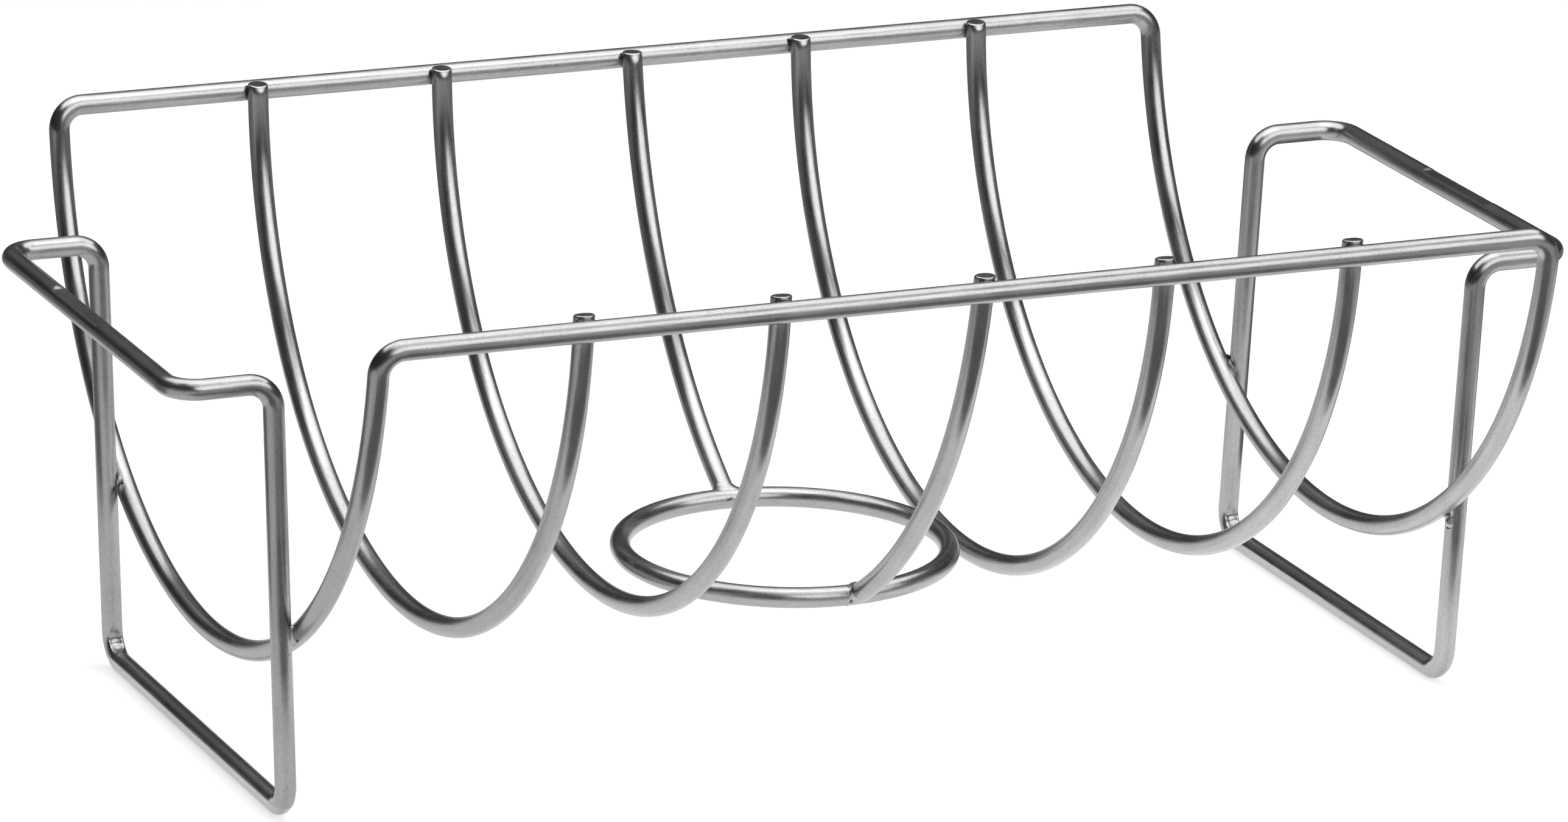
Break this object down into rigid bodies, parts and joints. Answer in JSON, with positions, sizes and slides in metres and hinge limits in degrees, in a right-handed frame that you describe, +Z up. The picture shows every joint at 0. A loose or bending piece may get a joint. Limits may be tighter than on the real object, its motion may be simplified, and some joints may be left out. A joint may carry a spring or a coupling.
{
  "type": "roasting rack",
  "caption": "Welded wire roasting rack: a U-shaped basket of bent round wires with a can ring in its floor, on wire leg frames that carry lift handles.",
  "frame": {"origin": "on the ground, in the middle of the rack: midway between the two leg frames and the two rails", "axes": "+X along the rails towards the right leg frame, +Y to the back rail, +Z up"},
  "size_m": [0.4286, 0.268, 0.1556],
  "materials": {
    "wire": "drawn stainless wire, fine lines along its length, fairly bright",
    "weld": "bare weld metal, duller and darker than the wire"
  },
  "bodies": {
    "root": {"basket_frame": "wire", "rib_1": "wire", "rib_2": "wire", "half_rib_front": "wire", "half_rib_back": "wire", "rib_4": "wire", "rib_5": "wire", "can_ring": "wire", "leg_left": "wire", "leg_right": "wire", "rail_welds": "weld", "leg_welds": "weld", "ring_welds": "weld"}
  },
  "joints": []
}
